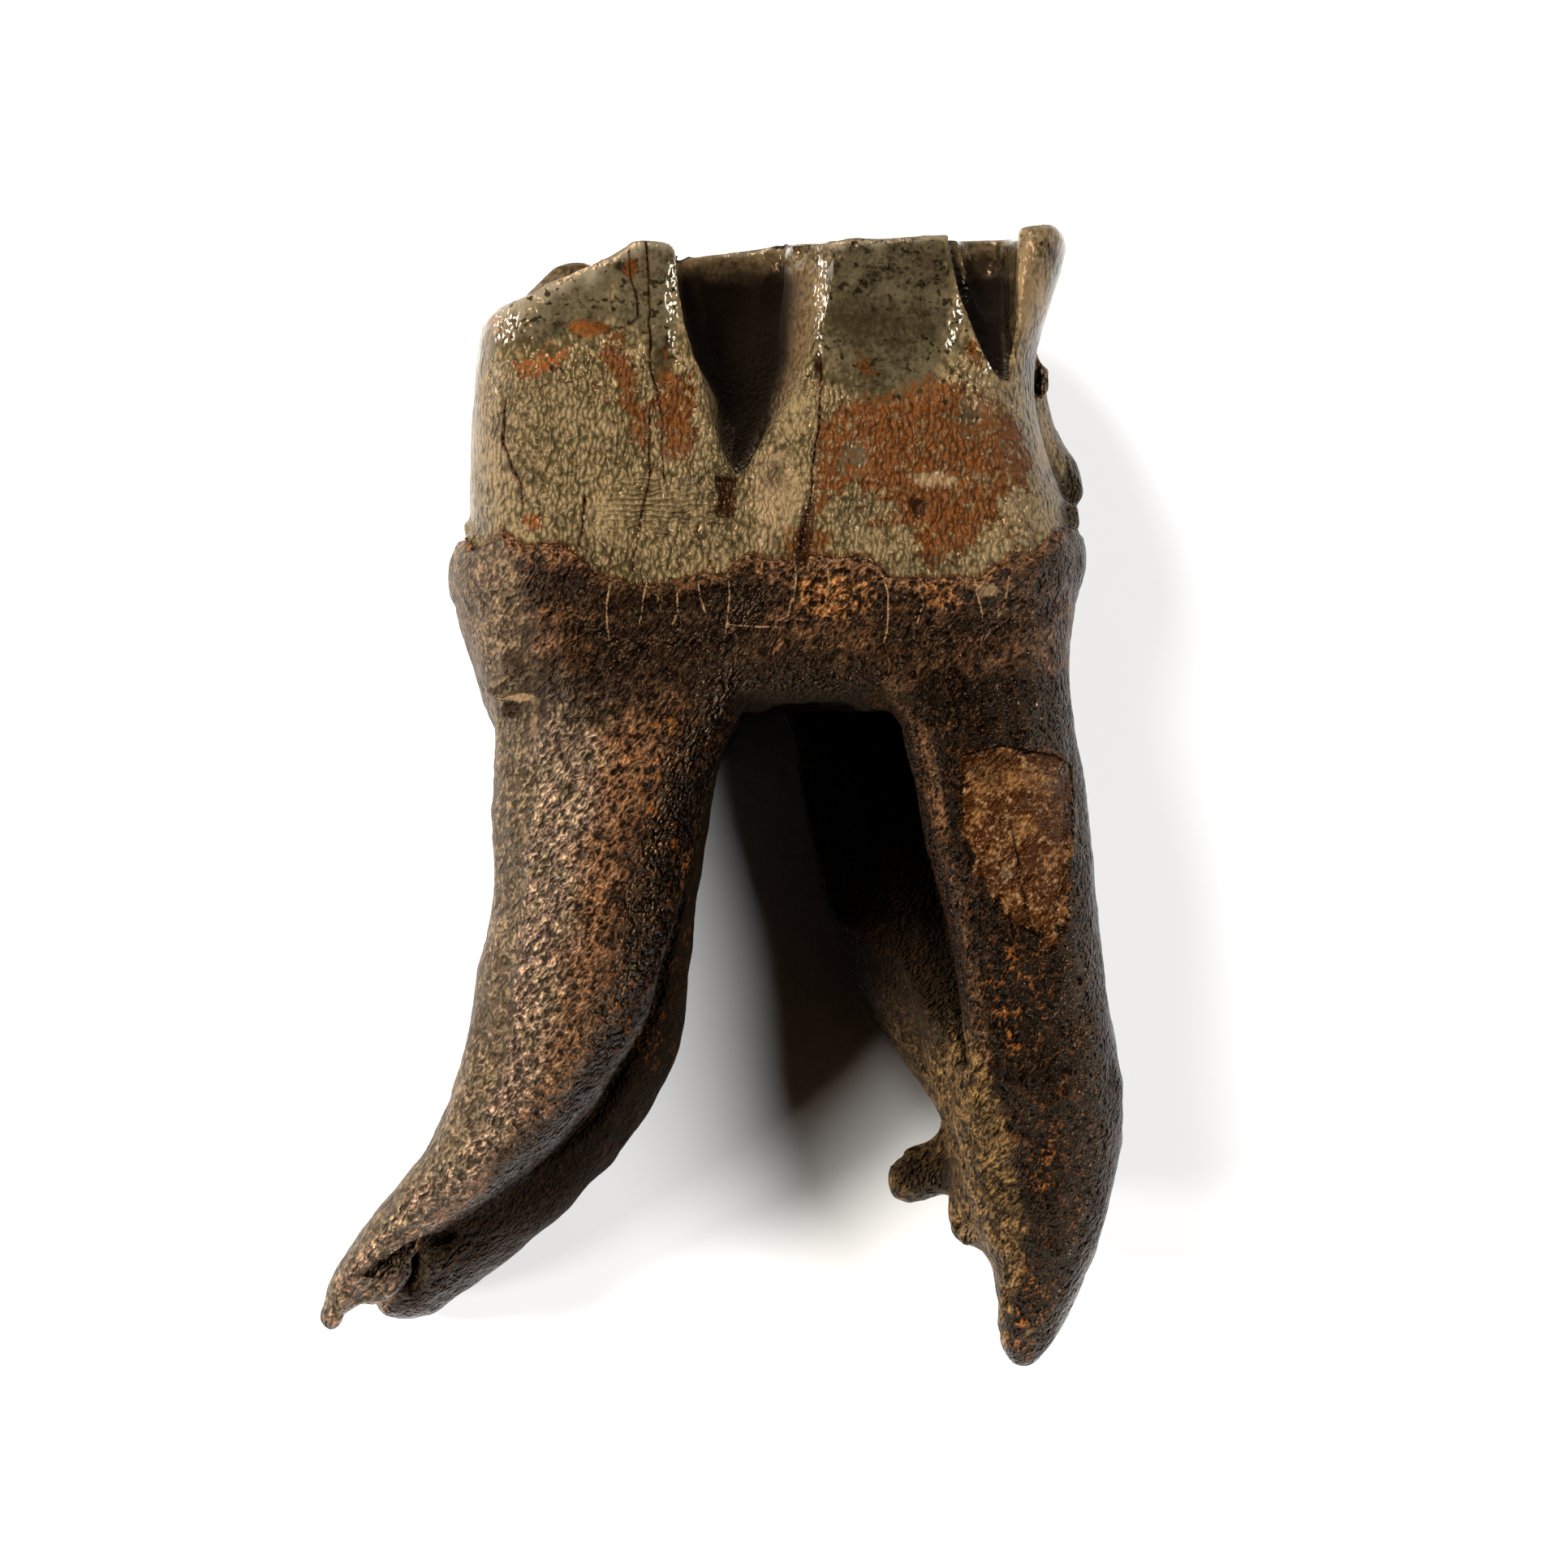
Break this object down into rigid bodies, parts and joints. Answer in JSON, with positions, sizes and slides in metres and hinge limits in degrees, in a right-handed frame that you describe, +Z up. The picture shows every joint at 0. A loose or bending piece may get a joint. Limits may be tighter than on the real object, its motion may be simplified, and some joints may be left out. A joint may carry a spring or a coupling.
{
  "type": "fossil woolly rhino lower molar",
  "caption": "Worn fossil lower molar with two long plate-like roots, lying on its cheek side.",
  "frame": {"origin": "on the resting surface, below the middle of the tooth's box", "axes": "+Y from the root tips to the chewing surface, +X towards the tooth's front (mesial) end, +Z up, out of its tongue side"},
  "size_m": [0.066, 0.0946, 0.0303],
  "materials": {
    "fossil_tooth": "mineralised enamel and cement, partly glossy"
  },
  "bodies": {
    "root": {"tooth": "fossil_tooth"}
  },
  "joints": []
}
